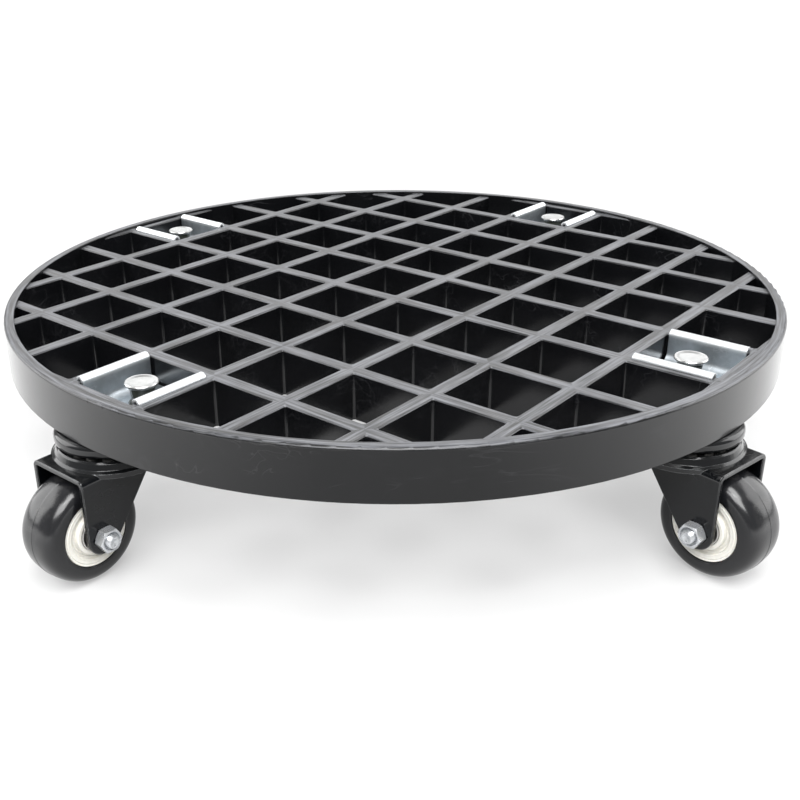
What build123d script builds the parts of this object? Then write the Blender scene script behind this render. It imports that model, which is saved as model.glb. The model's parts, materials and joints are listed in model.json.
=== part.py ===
from build123d import *
import os

# Round plant caddy: a moulded lattice deck that rolls on four swivel casters.
# Millimetres, +Z up. The origin is on the floor under the centre of the deck,
# and the ribs of the deck run along X and Y.

# Deck
deck_diameter = 400.0
cell_pitch = 42.2
rib_width = 6.8
rib_top = 89.0
rib_depth = 22.0
rib_edge = 0.5
cell_corner_radius = 1.2
rim_step = 1.7
rim_width = 5.1
rim_edge_radius = 1.7
rim_inner_edge_radius = 0.5
band_height = 23.7
web_inner_face = 189.7
web_width = 4.5

# Caster places: the head in each saddle bracket and the swivel axis, for the caster on +X
head_radius_position = 170.4
swivel_x = 177.5
swivel_y = -15.5

# Each caster: the turn of its place about the deck's axis, the way its wheel trails,
# and the side of the fork that the nut is on
stations = {
    "front_right": (0.0, -10.0, -1),
    "front_left": (-90.0, -90.0, 1),
    "back_left": (180.0, 170.0, -1),
    "back_right": (90.0, 90.0, 1),
}

# Saddle bracket
sheet = 1.2
bracket_length = 36.4
bracket_floor_drop = 12.2
bracket_fit = 0.1
lip_inner_radius = 1.1
bracket_bend_radius = 4.0
lip_gap = 0.15
lip_rest_depth = 0.2
lip_rest_fit = 0.3
lip_groove_radius = 0.35
lip_groove_depth = 0.2
lip_groove_spread = 80.0

# Head rivet and its bush
head_diameter = 14.9
head_thickness = 1.9
head_drop = 0.8
head_dish_depth = 0.4
head_dish_inset = 1.2
rivet_diameter = 8.0
rivet_fit = 0.1
bush_diameter = 11.6
bush_foot_diameter = 13.0
tail_diameter = 11.0

# Mounting plate
mount_plate_thickness = 2.5
plate_pocket_depth = 2.0
plate_pocket_fit = 0.3
plate_swivel_radius = 16.0
plate_head_radius = 14.0

# Swivel head
upper_race_radius = 25.2
upper_race_height = 6.0
upper_race_wall = 3.0
upper_race_roof = 2.6
upper_race_edge_radius = 2.4
lower_race_radius = 25.6
lower_race_top_radius = 24.6
lower_race_bore = 14.5
lower_race_height = 4.1
lower_race_skirt = 1.2
dish_radius = 27.2
race_gap = 1.5
ball_count = 16
ball_diameter = 5.0
ball_circle = 18.4
groove_depth = 0.6
groove_fit = 0.05
kingpin_diameter = 9.0
kingpin_head_diameter = 15.0
kingpin_head_height = 3.0
kingpin_flush_diameter = 13.0
swivel_fit = 0.08
swivel_end_play = 0.3

# Wheel and axle
wheel_radius = 25.0
wheel_width = 24.0
tread_edge_radius = 6.6
tread_lip_radius = 0.6
trail = 22.5
core_radius = 15.8
core_width = 22.8
core_recess_radius = 12.6
core_recess_depth = 2.0
hub_radius = 10.2
hub_width = 24.6
tread_lock_radius = 18.0
tread_lock_width = 12.0
bearing_outer = 16.0
bearing_width = 5.0
bearing_stand = 0.5
bearing_fit = 0.05
bearing_edge = 0.4
sleeve_outer = 9.8
axle_diameter = 6.0
axle_fit = 0.1

# Fork
fork_width = 35.0
fork_sheet = 2.2
fork_back = 8.0
fork_end_radius = 8.0
fork_fold_radius = 3.0
fork_edge = 0.4

# Nut and bolt
hex_across_flats = 10.0
nut_height = 5.2
bolt_head_height = 4.0
bolt_projection = 1.8
bolt_dimple_depth = 0.9
bolt_dimple_radius = 1.7

# Sizes that follow from those above
deck_radius = deck_diameter / 2
rim_inner_radius = deck_radius - rim_width
rim_top = rib_top + rim_step
band_bottom = rim_top - band_height
rib_bottom = rib_top - rib_depth
rib_lines = [(i - 3.5) * cell_pitch for i in range(8)]
cell_half = (cell_pitch - rib_width) / 2
cell_start = 3.5 * cell_pitch + rib_width / 2
cell_length = web_inner_face - cell_start
web_centre = web_inner_face + web_width / 2
bracket_floor_top = rib_top - bracket_floor_drop
seat_top = bracket_floor_top - sheet
wall_line_y = cell_half - bracket_fit - sheet / 2
lip_radius = lip_inner_radius + sheet / 2
lip_line_y = wall_line_y + lip_radius
lip_outer_radius = lip_radius + sheet / 2
lip_level = rib_top - lip_rest_depth + lip_gap
bracket_middle = cell_start + cell_length / 2
head_top = rib_top - head_drop
head_bottom = head_top - head_thickness
plate_top = rib_bottom + plate_pocket_depth
plate_bottom = plate_top - mount_plate_thickness
race_bottom = plate_bottom - upper_race_height
lower_race_top = race_bottom - race_gap
fork_top = lower_race_top - lower_race_height
fork_roof = fork_top - fork_sheet
ball_z = lower_race_top - groove_depth + ball_diameter / 2
fork_half = fork_width / 2
fork_front = trail + fork_end_radius
fork_inner_half = fork_half - fork_sheet
hub_half = hub_width / 2

os.makedirs("parts", exist_ok=True)


def placed(master, node, angle, x=0.0, y=0.0):
    """Write a copy of a finished piece, turned about Z and moved along the floor."""
    with BuildPart() as piece:
        with Locations(Location((x, y, 0), (0, 0, angle))):
            add(master.part)
    piece.part.label = node
    export_step(piece.part, "parts/" + node + ".step")


def swivel_place(angle):
    """Where the swivel axis of a caster stands when its place is turned by an angle."""
    spot = Vector(swivel_x, swivel_y, 0).rotate(Axis.Z, angle)
    return spot.X, spot.Y


# Outline of the mounting plate for the caster on +X, round its head rivet and its swivel axis
with BuildSketch() as plate_outline:
    with Locations((swivel_x, swivel_y)):
        Circle(plate_swivel_radius)
    with Locations((head_radius_position, 0)):
        Circle(plate_head_radius)
    make_hull()

# Deck: one moulding of rim, ribs, outer webs and caster seats
with BuildPart() as deck:
    with BuildSketch(Plane.XY.offset(rib_bottom)) as lattice:
        for line in rib_lines:
            with Locations((line, 0)):
                Rectangle(rib_width, deck_diameter)
            with Locations((0, line)):
                Rectangle(deck_diameter, rib_width)
        with PolarLocations(web_centre, 4):
            Rectangle(web_width, 3 * cell_pitch)
        Circle(rim_inner_radius + rim_width / 2, mode=Mode.INTERSECT)
        crossings = lattice.vertices().filter_by(lambda v: Vector(v.X, v.Y).length < rim_inner_radius - 2)
        fillet(crossings, cell_corner_radius)
    extrude(amount=rib_depth)
    chamfer(deck.faces().sort_by(Axis.Z)[-1].edges(), rib_edge)
    with BuildSketch(Plane.XY.offset(band_bottom)) as band:
        Circle(deck_radius)
        Circle(rim_inner_radius, mode=Mode.SUBTRACT)
    extrude(amount=band_height)
    crown = deck.faces().filter_by(Plane.XY).sort_by(Axis.Z)[-1]
    fillet(crown.outer_wire().edges(), rim_edge_radius)
    crown = deck.faces().filter_by(Plane.XY).sort_by(Axis.Z)[-1]
    fillet(crown.inner_wires()[0].edges(), rim_inner_edge_radius)
    with BuildSketch(Plane.XY.offset(rib_bottom)) as seats:
        with PolarLocations(bracket_middle, 4):
            Rectangle(cell_length + 1.0, 2 * cell_half + 1.0)
    extrude(amount=seat_top - rib_bottom)
    with BuildSketch(Plane.XY.offset(rib_bottom)) as rivet_holes:
        with PolarLocations(head_radius_position, 4):
            Circle(rivet_diameter / 2 + rivet_fit)
    extrude(amount=seat_top - rib_bottom, mode=Mode.SUBTRACT)
    with BuildSketch(Plane.XY.offset(rib_bottom)) as plate_pockets:
        with PolarLocations(0, 4):
            add(plate_outline.sketch)
        offset(amount=plate_pocket_fit)
    extrude(amount=plate_pocket_depth, mode=Mode.SUBTRACT)
    with BuildSketch(Plane.XY.offset(rib_top - lip_rest_depth)) as lip_rests:
        with PolarLocations(0, 4):
            with Locations((bracket_middle, lip_line_y), (bracket_middle, -lip_line_y)):
                Rectangle(bracket_length + 2 * lip_rest_fit, 2 * (lip_outer_radius + lip_rest_fit))
    extrude(amount=2 * lip_rest_depth, mode=Mode.SUBTRACT)
deck.part.label = "deck"
export_step(deck.part, "parts/deck.step")

# Saddle bracket: a channel in the cell with its two grooved lips rolled over the ribs
floor_line_z = seat_top + sheet / 2
with BuildPart() as saddle_bracket:
    with BuildSketch(Plane.YZ.offset(bracket_middle - bracket_length / 2)) as channel:
        with BuildLine() as half_line:
            Polyline((0, floor_line_z), (wall_line_y, floor_line_z), (wall_line_y, lip_level))
            ThreePointArc(
                (wall_line_y, lip_level),
                (lip_line_y, lip_level + lip_radius),
                (lip_line_y + lip_radius, lip_level),
            )
            bend = half_line.vertices().group_by(Axis.Y)[0].sort_by(Axis.X)[-1]
            fillet(bend, bracket_bend_radius + sheet / 2)
            mirror(about=Plane.YZ)
        trace(line_width=sheet)
        with Locations((lip_line_y, lip_level), (-lip_line_y, lip_level)):
            with PolarLocations(
                lip_outer_radius + lip_groove_radius - lip_groove_depth,
                3,
                start_angle=90 - lip_groove_spread / 2,
                angular_range=lip_groove_spread,
                endpoint=True,
            ):
                Circle(lip_groove_radius, mode=Mode.SUBTRACT)
    extrude(amount=bracket_length)
    with Locations((head_radius_position, 0, bracket_floor_top)):
        Hole(rivet_diameter / 2 + rivet_fit, depth=2 * sheet)
for station, (turn, heading, nut_side) in stations.items():
    placed(saddle_bracket, "saddle_bracket_" + station, turn)

# Head rivets: a dished round head over the bracket, and a flush tail in the mounting plate
with BuildPart() as rivet:
    with BuildSketch(Plane.XZ) as rivet_profile:
        with BuildLine():
            Polyline(
                (0, head_top - head_dish_depth),
                (head_diameter / 2 - 2 * head_dish_inset, head_top - head_dish_depth),
                (head_diameter / 2 - head_dish_inset, head_top),
                (head_diameter / 2 - 0.4, head_top),
                (head_diameter / 2, head_top - 0.5),
                (head_diameter / 2, head_bottom + 0.9),
                (head_diameter / 2 - 1.0, head_bottom),
                (rivet_diameter / 2, head_bottom),
                (rivet_diameter / 2, plate_bottom + (tail_diameter - rivet_diameter) / 2),
                (tail_diameter / 2, plate_bottom),
                (0, plate_bottom),
                close=True,
            )
        make_face()
    revolve(axis=Axis.Z)
with BuildPart() as bracket_rivets:
    with PolarLocations(head_radius_position, 4):
        add(rivet.part)
bracket_rivets.part.label = "bracket_rivets"
export_step(bracket_rivets.part, "parts/bracket_rivets.step")

# Black bushes round the rivets, between each head and its bracket
with BuildPart() as rivet_bush:
    with BuildSketch(Plane.XZ) as bush_profile:
        with BuildLine():
            Polyline(
                (rivet_diameter / 2 + rivet_fit, bracket_floor_top),
                (bush_foot_diameter / 2, bracket_floor_top),
                (bush_foot_diameter / 2, bracket_floor_top + 1.6),
                (bush_diameter / 2 - 0.8, bracket_floor_top + 3.6),
                (bush_diameter / 2, head_bottom),
                (rivet_diameter / 2 + rivet_fit, head_bottom),
                close=True,
            )
        make_face()
    revolve(axis=Axis.Z)
with BuildPart() as rivet_bushes:
    with PolarLocations(head_radius_position, 4):
        add(rivet_bush.part)
rivet_bushes.part.label = "rivet_bushes"
export_step(rivet_bushes.part, "parts/rivet_bushes.step")

# Mounting plate: carries the swivel axis, held up under the ribs by the head rivet
with BuildPart() as mount_plate:
    with BuildSketch(Plane.XY.offset(plate_bottom)):
        add(plate_outline.sketch)
    extrude(amount=mount_plate_thickness)
    chamfer(mount_plate.faces().sort_by(Axis.Z)[0].edges(), 0.4)
    with Locations(Plane((head_radius_position, 0, plate_bottom), z_dir=(0, 0, -1))):
        CounterSinkHole(rivet_diameter / 2, tail_diameter / 2, 2 * mount_plate_thickness, 90)
    with Locations((swivel_x, swivel_y, plate_top)):
        CounterSinkHole(kingpin_diameter / 2, kingpin_flush_diameter / 2, 2 * mount_plate_thickness, 90)
for station, (turn, heading, nut_side) in stations.items():
    placed(mount_plate, "mount_plate_" + station, turn)

# The pieces below are drawn with the swivel axis on Z and the wheel trailing along +X

# Upper race: a pressed cup with a rounded wall, open below
with BuildPart() as upper_race:
    with BuildSketch(Plane.XZ) as cup_profile:
        with BuildLine():
            Polyline(
                (kingpin_diameter / 2, plate_bottom),
                (upper_race_radius, plate_bottom),
                (upper_race_radius, race_bottom),
                (upper_race_radius - upper_race_wall, race_bottom),
                (upper_race_radius - upper_race_wall, plate_bottom - upper_race_roof),
                (kingpin_diameter / 2, plate_bottom - upper_race_roof),
                close=True,
            )
        make_face()
        fillet(cup_profile.vertices().group_by(Axis.X)[-1], upper_race_edge_radius)
    revolve(axis=Axis.Z)

# Kingpin: flush in the mounting plate, with a round head under the fork
with BuildPart() as kingpin:
    with BuildSketch(Plane.XZ) as kingpin_profile:
        with BuildLine():
            Polyline(
                (0, plate_top),
                (kingpin_flush_diameter / 2, plate_top),
                (kingpin_diameter / 2, plate_top - (kingpin_flush_diameter - kingpin_diameter) / 2),
                (kingpin_diameter / 2, fork_roof - swivel_end_play),
                (kingpin_head_diameter / 2, fork_roof - swivel_end_play),
                (kingpin_head_diameter / 2, fork_roof - swivel_end_play - kingpin_head_height / 2),
                (kingpin_diameter / 2, fork_roof - swivel_end_play - kingpin_head_height),
                (0, fork_roof - swivel_end_play - kingpin_head_height),
                close=True,
            )
        make_face()
    revolve(axis=Axis.Z)

# Fork: a folded U of sheet, its top swelling into the round dish and ring of the lower race
with BuildPart() as fork:
    with BuildSketch(Plane.XZ) as fork_side:
        with BuildLine():
            Polyline(
                (-fork_back, fork_top),
                (fork_front, fork_top),
                (fork_front, fork_roof),
                (-fork_back, fork_roof),
                close=True,
            )
        make_face()
        with Locations((trail, wheel_radius)):
            Circle(fork_end_radius)
        make_hull()
    extrude(amount=fork_half, both=True)
    long_folds = fork.edges().filter_by(Axis.X).group_by(Axis.Z)[-1]
    fillet(long_folds, fork_fold_radius)
    with BuildSketch(Plane.YZ.offset(-2 * dish_radius)) as wheel_room:
        with Locations((0, fork_roof)):
            Rectangle(2 * fork_inner_half, fork_roof, align=(Align.CENTER, Align.MAX))
        fillet(wheel_room.vertices().group_by(Axis.Y)[-1], fork_fold_radius - fork_sheet)
    extrude(amount=4 * dish_radius + fork_front, mode=Mode.SUBTRACT)
    chamfer(fork.faces().filter_by(Plane.YZ).sort_by(Axis.X)[-1].edges(), fork_edge)
    with BuildSketch(Plane.XY.offset(fork_roof)) as dish:
        Circle(dish_radius)
    extrude(amount=fork_sheet)
    with BuildSketch(Plane.XZ) as ring_profile:
        with BuildLine():
            Polyline(
                (lower_race_bore, fork_top),
                (lower_race_radius + lower_race_skirt, fork_top),
                (lower_race_radius, fork_top + 0.8),
                (lower_race_top_radius, lower_race_top - 0.7),
                (lower_race_top_radius - 0.7, lower_race_top),
                (lower_race_bore + 1.0, lower_race_top),
                (lower_race_bore, lower_race_top - 1.0),
                close=True,
            )
        make_face()
    revolve(axis=Axis.Z)
    with BuildSketch(Plane.XZ) as groove:
        with Locations((ball_circle, ball_z)):
            Circle(ball_diameter / 2 + groove_fit)
    revolve(axis=Axis.Z, mode=Mode.SUBTRACT)
    with Locations((0, 0, fork_top)):
        Hole(kingpin_diameter / 2 + swivel_fit, depth=2 * fork_sheet)
    with Locations(Plane((trail, -fork_half, wheel_radius), z_dir=(0, -1, 0))):
        Hole(axle_diameter / 2 + axle_fit, depth=2 * fork_width)

# Swivel balls: one ring of balls in the groove of the lower race
with BuildPart() as swivel_balls:
    with Locations((0, 0, ball_z)):
        with PolarLocations(ball_circle, ball_count):
            Sphere(ball_diameter / 2)

# Axle sleeve between the two legs, on which the wheel turns
axle_plane = Plane((trail, 0, wheel_radius), x_dir=(1, 0, 0), z_dir=(0, 1, 0))
wheel_plane = Plane((trail, 0, wheel_radius), x_dir=(0, 1, 0), z_dir=(1, 0, 0))
wheel_axis = Axis((trail, 0, wheel_radius), (0, 1, 0))
with BuildPart() as axle_sleeve:
    with BuildSketch(axle_plane) as sleeve_ring:
        Circle(sleeve_outer / 2)
        Circle(axle_diameter / 2 + axle_fit, mode=Mode.SUBTRACT)
    extrude(amount=fork_inner_half, both=True)

# Axle bolt: hexagon head on one leg, dimpled end standing out of the nut on the other
bolt_tip = fork_half + nut_height + bolt_projection
with BuildPart() as axle_bolt:
    with BuildSketch(axle_plane.offset(-fork_half - bolt_head_height)) as bolt_head:
        RegularPolygon(hex_across_flats / 2, 6, major_radius=False)
    extrude(amount=bolt_head_height)
    chamfer(axle_bolt.faces().sort_by(Axis.Y)[0].edges(), 0.5)
    with BuildSketch(axle_plane.offset(-fork_half)) as bolt_shank:
        Circle(axle_diameter / 2)
    extrude(amount=fork_half + bolt_tip)
    chamfer(axle_bolt.faces().sort_by(Axis.Y)[-1].edges(), 0.6)
    with BuildSketch(wheel_plane) as bolt_dimple:
        with BuildLine():
            Polyline(
                (bolt_tip - bolt_dimple_depth, 0),
                (bolt_tip, bolt_dimple_radius),
                (bolt_tip, 0),
                close=True,
            )
        make_face()
    revolve(axis=wheel_axis, mode=Mode.SUBTRACT)

# Axle nut
with BuildPart() as axle_nut:
    with BuildSketch(axle_plane.offset(fork_half)) as nut_outline:
        RegularPolygon(hex_across_flats / 2, 6, major_radius=False)
        Circle(axle_diameter / 2, mode=Mode.SUBTRACT)
    extrude(amount=nut_height)
    chamfer(axle_nut.faces().sort_by(Axis.Y)[-1].outer_wire().edges(), 0.6)

# Tread: a rounded ring with a faint parting ridge, locked on the core
half_width = wheel_width / 2
with BuildPart() as tread:
    with BuildSketch(wheel_plane) as tread_profile:
        with BuildLine() as tread_line:
            Polyline(
                (-half_width, core_radius),
                (-half_width, wheel_radius),
                (half_width, wheel_radius),
                (half_width, core_radius),
                (tread_lock_width / 2, core_radius),
                (tread_lock_width / 2, tread_lock_radius),
                (-tread_lock_width / 2, tread_lock_radius),
                (-tread_lock_width / 2, core_radius),
                close=True,
            )
        make_face()
        fillet(tread_profile.vertices().group_by(Axis.Y)[-1], tread_edge_radius)
        fillet(tread_profile.vertices().group_by(Axis.Y)[0].sort_by(Axis.X)[0], tread_lip_radius)
        fillet(tread_profile.vertices().group_by(Axis.Y)[0].sort_by(Axis.X)[-1], tread_lip_radius)
    revolve(axis=wheel_axis)

# Wheel core: pale hub with a stepped face, a rib for the tread and a pocket for each bearing
with BuildPart() as wheel_core:
    with BuildSketch(wheel_plane) as core_profile:
        with BuildLine():
            Polyline(
                (-hub_half, bearing_outer / 2),
                (-hub_half, hub_radius),
                (-core_width / 2 + core_recess_depth, hub_radius),
                (-core_width / 2 + core_recess_depth, core_recess_radius),
                (-core_width / 2, core_recess_radius),
                (-core_width / 2, core_radius),
                (-tread_lock_width / 2, core_radius),
                (-tread_lock_width / 2, tread_lock_radius),
                (tread_lock_width / 2, tread_lock_radius),
                (tread_lock_width / 2, core_radius),
                (core_width / 2, core_radius),
                (core_width / 2, core_recess_radius),
                (core_width / 2 - core_recess_depth, core_recess_radius),
                (core_width / 2 - core_recess_depth, hub_radius),
                (hub_half, hub_radius),
                (hub_half, bearing_outer / 2),
                (hub_half - bearing_width, bearing_outer / 2),
                (hub_half - bearing_width, sleeve_outer / 2 + 0.8),
                (-hub_half + bearing_width, sleeve_outer / 2 + 0.8),
                (-hub_half + bearing_width, bearing_outer / 2),
                close=True,
            )
        make_face()
    revolve(axis=wheel_axis)

# Wheel bearings: one steel ring in each end of the hub
bearing_middle = hub_half - (bearing_width - bearing_stand) / 2
bearing_mean = (bearing_outer / 2 + sleeve_outer / 2 + bearing_fit) / 2
with BuildPart() as wheel_bearings:
    with BuildSketch(wheel_plane) as bearing_profile:
        with Locations((bearing_middle, bearing_mean), (-bearing_middle, bearing_mean)):
            Rectangle(bearing_width + bearing_stand, 2 * (bearing_outer / 2 - bearing_mean))
        chamfer(bearing_profile.vertices(), bearing_edge)
    revolve(axis=wheel_axis)

# Each caster: its pieces turned the way its wheel trails and stood on its swivel axis
for station, (turn, heading, nut_side) in stations.items():
    x, y = swivel_place(turn)
    placed(upper_race, "upper_race_" + station, heading, x, y)
    placed(kingpin, "kingpin_" + station, heading, x, y)
    placed(fork, "fork_" + station, heading, x, y)
    placed(swivel_balls, "swivel_balls_" + station, heading, x, y)
    placed(axle_sleeve, "axle_sleeve_" + station, heading, x, y)
    placed(tread, "tread_" + station, heading, x, y)
    placed(wheel_core, "wheel_core_" + station, heading, x, y)
    placed(wheel_bearings, "wheel_bearings_" + station, heading, x, y)
    axle = Vector(2 * trail, 0, 0).rotate(Axis.Z, heading) if nut_side < 0 else Vector(0, 0, 0)
    bolt_heading = heading + 180 if nut_side < 0 else heading
    placed(axle_bolt, "axle_bolt_" + station, bolt_heading, x + axle.X, y + axle.Y)
    placed(axle_nut, "axle_nut_" + station, bolt_heading, x + axle.X, y + axle.Y)
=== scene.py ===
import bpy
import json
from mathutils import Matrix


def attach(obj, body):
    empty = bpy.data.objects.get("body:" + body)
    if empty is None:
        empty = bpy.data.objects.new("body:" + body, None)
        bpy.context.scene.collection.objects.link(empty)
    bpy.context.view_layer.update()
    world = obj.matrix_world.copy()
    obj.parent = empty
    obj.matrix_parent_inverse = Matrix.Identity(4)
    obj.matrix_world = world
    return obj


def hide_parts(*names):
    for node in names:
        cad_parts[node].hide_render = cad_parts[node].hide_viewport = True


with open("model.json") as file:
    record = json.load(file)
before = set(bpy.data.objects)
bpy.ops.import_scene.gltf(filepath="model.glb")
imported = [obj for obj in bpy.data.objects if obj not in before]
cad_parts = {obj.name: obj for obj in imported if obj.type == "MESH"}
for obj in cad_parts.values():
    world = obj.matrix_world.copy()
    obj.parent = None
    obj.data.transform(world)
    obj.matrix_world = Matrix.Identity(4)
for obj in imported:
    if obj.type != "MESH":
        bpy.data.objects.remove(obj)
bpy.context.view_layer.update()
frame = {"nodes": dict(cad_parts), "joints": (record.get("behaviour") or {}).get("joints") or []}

import json
import math

import bmesh
import bpy
from mathutils import Euler, Matrix, Vector

bl_info = {
    "name": "Plant Caddy Looks",
    "version": (1, 0, 0),
    "blender": (4, 5, 0),
    "location": "View3D > Sidebar > Plant Caddy",
    "description": "Dresses the plant caddy in plastic, zinc, enamel and rubber, and sets up its stage",
    "category": "Object",
}

# Each caster, and the side of its axle that the nut is on
STATIONS = {"front_right": -1, "front_left": 1, "back_left": -1, "back_right": 1}
MM = 0.001

# Steps round a turned piece, and the angle past which its edges show sharp
WHEEL_SEGMENTS = 120
FASTENER_SEGMENTS = 96
SHARP_ANGLE = math.radians(26)

JOINTS = {joint["name"]: joint for joint in frame["joints"]}

# The rim's inner edge past its inner wall, and how far down its outer wall is shaded smooth
RIM_INNER_EDGE = 1.2 * MM
RIM_SMOOTH_DEPTH = 22.5 * MM

# Heights between which a bracket's lips are painted bright, a painted highlight on their rolled tops
LIP_HIGHLIGHT_START = 87.5 * MM
LIP_HIGHLIGHT_END = 89.5 * MM

# Colours that wear, dust and marks bring out, and the painted sheen on the rib tops and painted highlights
# along the rib edges, enamel edges and bracket lips
RIB_DARK = (0.004, 0.0043, 0.005, 1.0)
RIB_STREAK_SHEEN = (0.130, 0.134, 0.146, 1.0)
WORN_AND_GLINTING_PLASTIC = (0.20, 0.20, 0.21, 1.0)
SCRATCHED_PLASTIC = (0.05, 0.05, 0.054, 1.0)
DECK_DUST = (0.36, 0.35, 0.33, 1.0)
ENAMEL_DUST = (0.34, 0.33, 0.31, 1.0)
ENAMEL_EDGE_WEAR_AND_GLINT = (0.42, 0.43, 0.44, 1.0)
ROLLING_DUST = (0.17, 0.165, 0.155, 1.0)
CORE_GRIME = (0.20, 0.17, 0.13, 1.0)
RUBBED_AND_HIGHLIT_ZINC = (0.90, 0.92, 0.93, 1.0)
SCORED_ZINC = (0.85, 0.87, 0.9, 1.0)
BLUE_PASSIVATION = (0.74, 0.76, 0.80, 1.0)
STRAW_PASSIVATION = (0.72, 0.69, 0.60, 1.0)
BARE_PLATING = (0.93, 0.94, 0.95, 1.0)
BARE_STEEL = (0.8, 0.8, 0.79, 1.0)
BUSH_DARK = (0.008, 0.009, 0.008, 1.0)
BUSH_OLIVE = (0.030, 0.034, 0.026, 1.0)
BUSH_SCUFF = (0.11, 0.12, 0.11, 1.0)


# Sizes and colours


class CaddyDeckLooks(bpy.types.PropertyGroup):
    plastic: bpy.props.FloatVectorProperty(
        name="Plastic", description="Colour of the moulded deck",
        subtype="COLOR", min=0.0, max=1.0, default=(0.0034, 0.0036, 0.0042))
    rib_roughness: bpy.props.FloatProperty(
        name="Rib roughness", description="Roughness of the rib tops",
        subtype="FACTOR", min=0.0, max=1.0, default=0.38)
    wall_roughness: bpy.props.FloatProperty(
        name="Wall roughness", description="Roughness of the upright walls",
        subtype="FACTOR", min=0.0, max=1.0, default=0.24)
    cell_pitch: bpy.props.FloatProperty(
        name="Cell pitch", description="Distance between the ribs of the lattice",
        unit="LENGTH", subtype="DISTANCE", default=42.2 * MM)
    rim_radius: bpy.props.FloatProperty(
        name="Rim radius", description="Radius inside which the rib streaks run straight",
        unit="LENGTH", subtype="DISTANCE", default=194.5 * MM)
    rim_edge: bpy.props.FloatProperty(
        name="Rim edge", description="Radius of the rim's rounded outer edge",
        unit="LENGTH", subtype="DISTANCE", default=1.7 * MM)
    rim_top: bpy.props.FloatProperty(
        name="Rim top", description="Height of the rim's top face",
        unit="LENGTH", subtype="DISTANCE", default=90.7 * MM)
    deck_radius: bpy.props.FloatProperty(
        name="Deck radius", description="Radius of the deck's outer wall",
        unit="LENGTH", subtype="DISTANCE", default=200.0 * MM)
    streak_width: bpy.props.FloatProperty(
        name="Streak width", description="Width of a drawn streak along a rib",
        unit="LENGTH", subtype="DISTANCE", default=1.2 * MM)


class CaddyMetalLooks(bpy.types.PropertyGroup):
    zinc: bpy.props.FloatVectorProperty(
        name="Zinc", description="Colour of the zinc brackets",
        subtype="COLOR", min=0.0, max=1.0, default=(0.60, 0.65, 0.69))
    spangle_size: bpy.props.FloatProperty(
        name="Spangle size", description="Size of the cloudy patches in the zinc",
        unit="LENGTH", subtype="DISTANCE", default=5.0 * MM)
    bright: bpy.props.FloatVectorProperty(
        name="Bright steel", description="Colour of the round heads",
        subtype="COLOR", min=0.0, max=1.0, default=(0.50, 0.505, 0.50))
    enamel: bpy.props.FloatVectorProperty(
        name="Enamel", description="Colour of the gloss enamel on the forks and races",
        subtype="COLOR", min=0.0, max=1.0, default=(0.0024, 0.0028, 0.0035))
    enamel_roughness: bpy.props.FloatProperty(
        name="Enamel roughness", description="Roughness of the gloss enamel",
        subtype="FACTOR", min=0.0, max=1.0, default=0.13)
    fastener: bpy.props.FloatVectorProperty(
        name="Fastener", description="Colour of the plated nuts and bolts",
        subtype="COLOR", min=0.0, max=1.0, default=(0.68, 0.70, 0.71))
    steel: bpy.props.FloatVectorProperty(
        name="Steel", description="Colour of the bearings, sleeves and pins",
        subtype="COLOR", min=0.0, max=1.0, default=(0.50, 0.49, 0.47))


class CaddyWheelLooks(bpy.types.PropertyGroup):
    tread: bpy.props.FloatVectorProperty(
        name="Tread", description="Colour of the tread",
        subtype="COLOR", min=0.0, max=1.0, default=(0.0075, 0.0078, 0.0090))
    core: bpy.props.FloatVectorProperty(
        name="Core", description="Colour of the wheel core",
        subtype="COLOR", min=0.0, max=1.0, default=(0.76, 0.745, 0.69))
    radius: bpy.props.FloatProperty(
        name="Wheel radius", description="Radius of the wheel at its parting ridge",
        unit="LENGTH", subtype="DISTANCE", default=25.0 * MM)


class CaddyStageLooks(bpy.types.PropertyGroup):
    floor: bpy.props.FloatVectorProperty(
        name="Floor", description="Colour that the floor scatters",
        subtype="COLOR", min=0.0, max=1.0, default=(0.36, 0.36, 0.36))
    floor_glow: bpy.props.FloatProperty(
        name="Floor glow", description="White that the floor shows in its own shadow",
        subtype="FACTOR", min=0.0, max=1.0, default=0.38)
    side_cards: bpy.props.FloatProperty(
        name="Side cards", description="White that the floor adds in reflections at the two sides",
        min=0.0, max=4.0, default=1.3)
    world_light: bpy.props.FloatProperty(
        name="World light", description="Strength of the pale surroundings for everything but the camera",
        min=0.0, max=2.0, default=0.45)
    focal_length: bpy.props.FloatProperty(
        name="Focal length", description="Focal length of the camera in millimetres",
        min=1.0, default=46.865)
    camera_place: bpy.props.FloatVectorProperty(
        name="Camera place", description="Where the camera stands",
        unit="LENGTH", subtype="TRANSLATION", default=(0.3349, -0.4206, 0.2658))
    camera_heading: bpy.props.FloatProperty(
        name="Camera heading", description="Turn of the camera about the vertical",
        subtype="ANGLE", default=math.radians(40.824))
    camera_tilt: bpy.props.FloatProperty(
        name="Camera tilt", description="Tilt of the camera up from straight down",
        subtype="ANGLE", default=math.radians(65.246))
    camera_roll: bpy.props.FloatProperty(
        name="Camera roll", description="Roll of the camera about its line of sight",
        subtype="ANGLE", default=math.radians(-0.886))
    camera_shift: bpy.props.FloatProperty(
        name="Camera shift", description="Sideways shift of the picture that the photograph's framing needs",
        subtype="FACTOR", min=-0.5, max=0.5, default=0.06)


# Node helpers


def add_node(tree, kind, inputs=None, **settings):
    """Adds a node, sets its fields, fills or links its sockets, and returns it."""
    made = tree.nodes.new(kind)
    for field, value in settings.items():
        setattr(made, field, value)
    for socket, value in (inputs or {}).items():
        if isinstance(value, bpy.types.NodeSocket):
            tree.links.new(value, made.inputs[socket])
        else:
            made.inputs[socket].default_value = value
    return made


def maths(tree, operation, first, second=0.0, third=0.0):
    """The result of a Math node."""
    return add_node(tree, "ShaderNodeMath", {0: first, 1: second, 2: third}, operation=operation).outputs[0]


def product(tree, first, second):
    """Two values multiplied."""
    return maths(tree, "MULTIPLY", first, second)


def split(tree, vector):
    """The X, Y and Z of a vector."""
    return add_node(tree, "ShaderNodeSeparateXYZ", {0: vector}).outputs


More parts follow.
